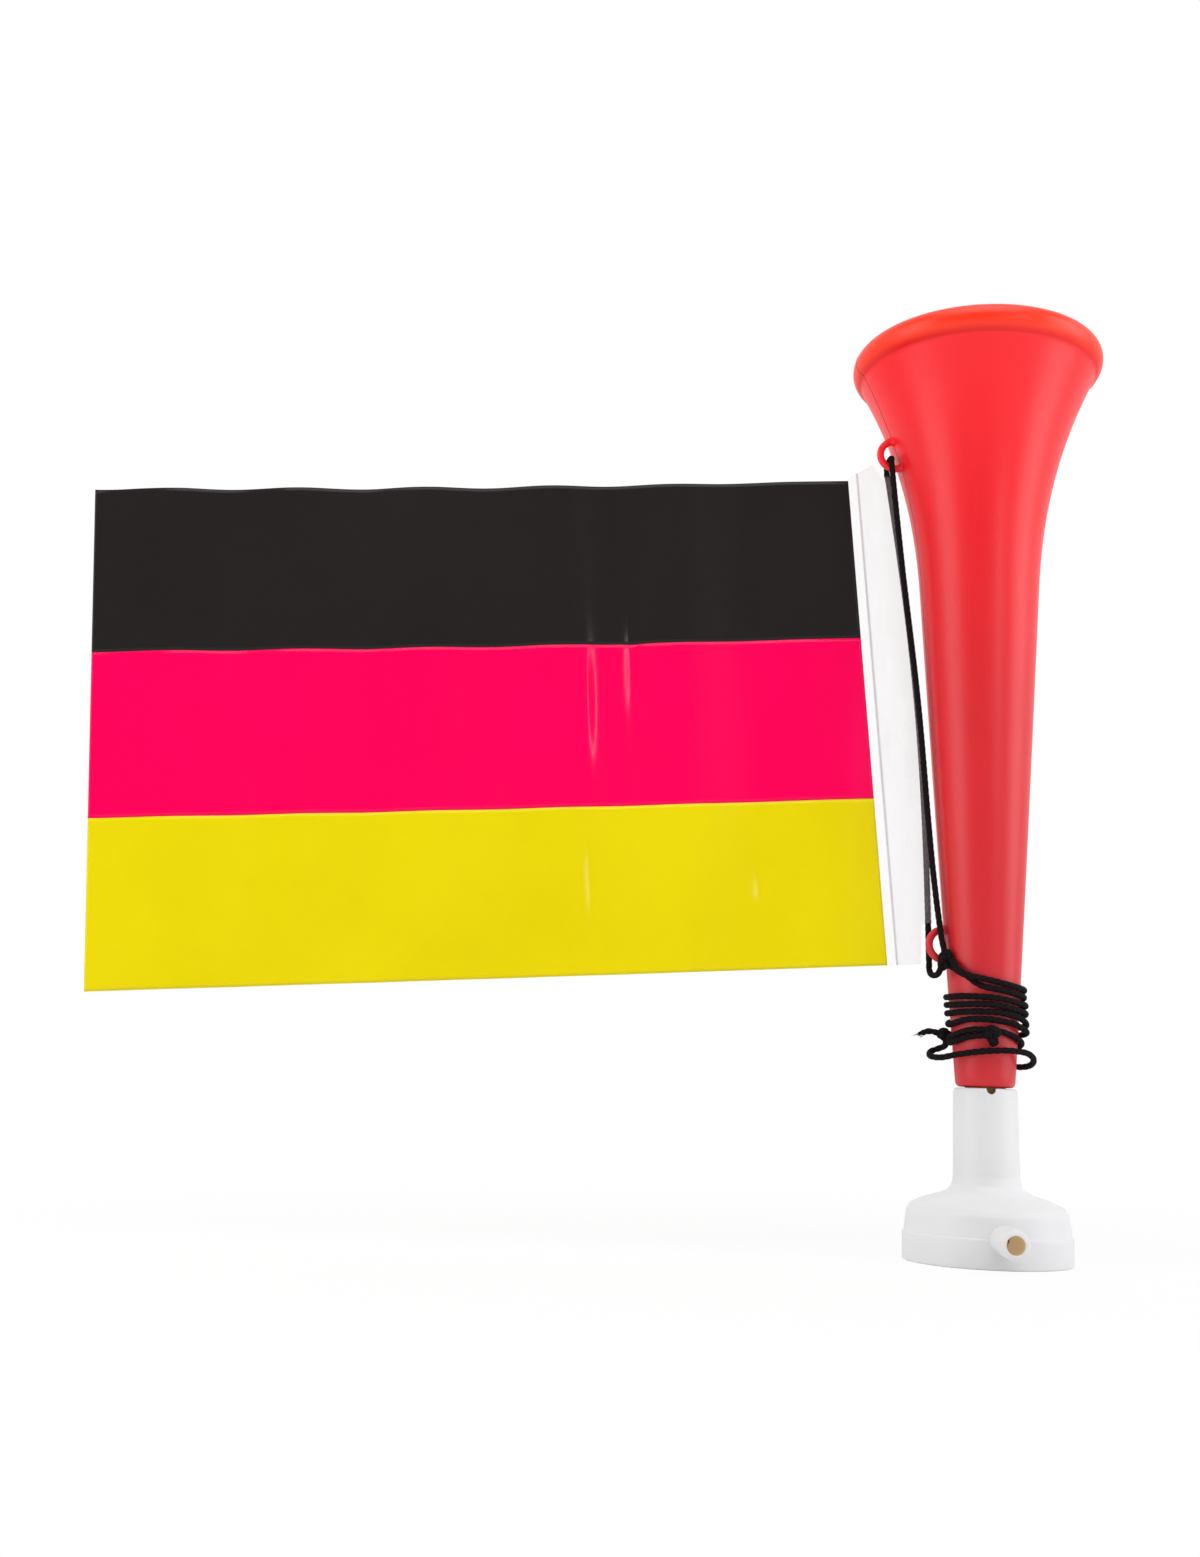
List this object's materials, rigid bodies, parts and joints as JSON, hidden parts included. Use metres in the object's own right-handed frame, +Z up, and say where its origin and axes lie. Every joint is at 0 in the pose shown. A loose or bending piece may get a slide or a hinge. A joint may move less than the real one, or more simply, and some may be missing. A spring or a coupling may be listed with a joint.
{
  "type": "stadium horn",
  "caption": "Trumpet-shaped horn standing on a round diaphragm sound head, with a striped film flag carried by a cord through two side eyes.",
  "frame": {"origin": "centre of the sound head's flat underside, on the horn's axis", "axes": "+Z up along the horn's axis, blow tube along -Y, flag towards -X"},
  "size_m": [0.3675, 0.0918, 0.33],
  "materials": {
    "red_plastic": "satin",
    "white_plastic": "satin",
    "tan_plastic": "matte",
    "clear_film": "satin",
    "black_film": "satin",
    "red_film": "satin",
    "yellow_film": "satin",
    "sleeve_film": "satin",
    "black_cord": "matte"
  },
  "bodies": {
    "horn_body": {"horn": "red_plastic", "upper_eye": "red_plastic", "lower_eye": "red_plastic", "sound_head": "white_plastic", "sound_tube": "tan_plastic", "blow_liner": "tan_plastic", "base_cap": "white_plastic", "cord_front_strand": "black_cord", "cord_upper_turn": "black_cord", "cord_eye_loop": "black_cord", "cord_eye_knot": "black_cord", "cord_winding_a": "black_cord", "cord_winding_b": "black_cord", "cord_waist_knot": "black_cord", "cord_low_turn": "black_cord", "cord_side_hitch": "black_cord", "cord_tail": "black_cord"},
    "flag": {"flag_black": "black_film", "flag_red": "red_film", "flag_gold": "yellow_film", "flag_sleeve": "sleeve_film", "cord_hoist_strand": "black_cord"},
    "diaphragm_disc": {"diaphragm": "clear_film"}
  },
  "joints": [
    {"name": "flag_swing", "type": "hinge", "parent": "horn_body", "child": "flag", "pos_m": [-0.01925, 0.00143, 0.108], "axis": [-0.081, -0.0084, 0.9967], "range_deg": [-125, 70]},
    {"name": "diaphragm_lift", "type": "slide", "parent": "horn_body", "child": "diaphragm_disc", "axis": [0, 0, 1], "range_m": [-0.0004, 0], "stiffness_N_per_m": 400, "springref_m": 0.00005}
  ]
}
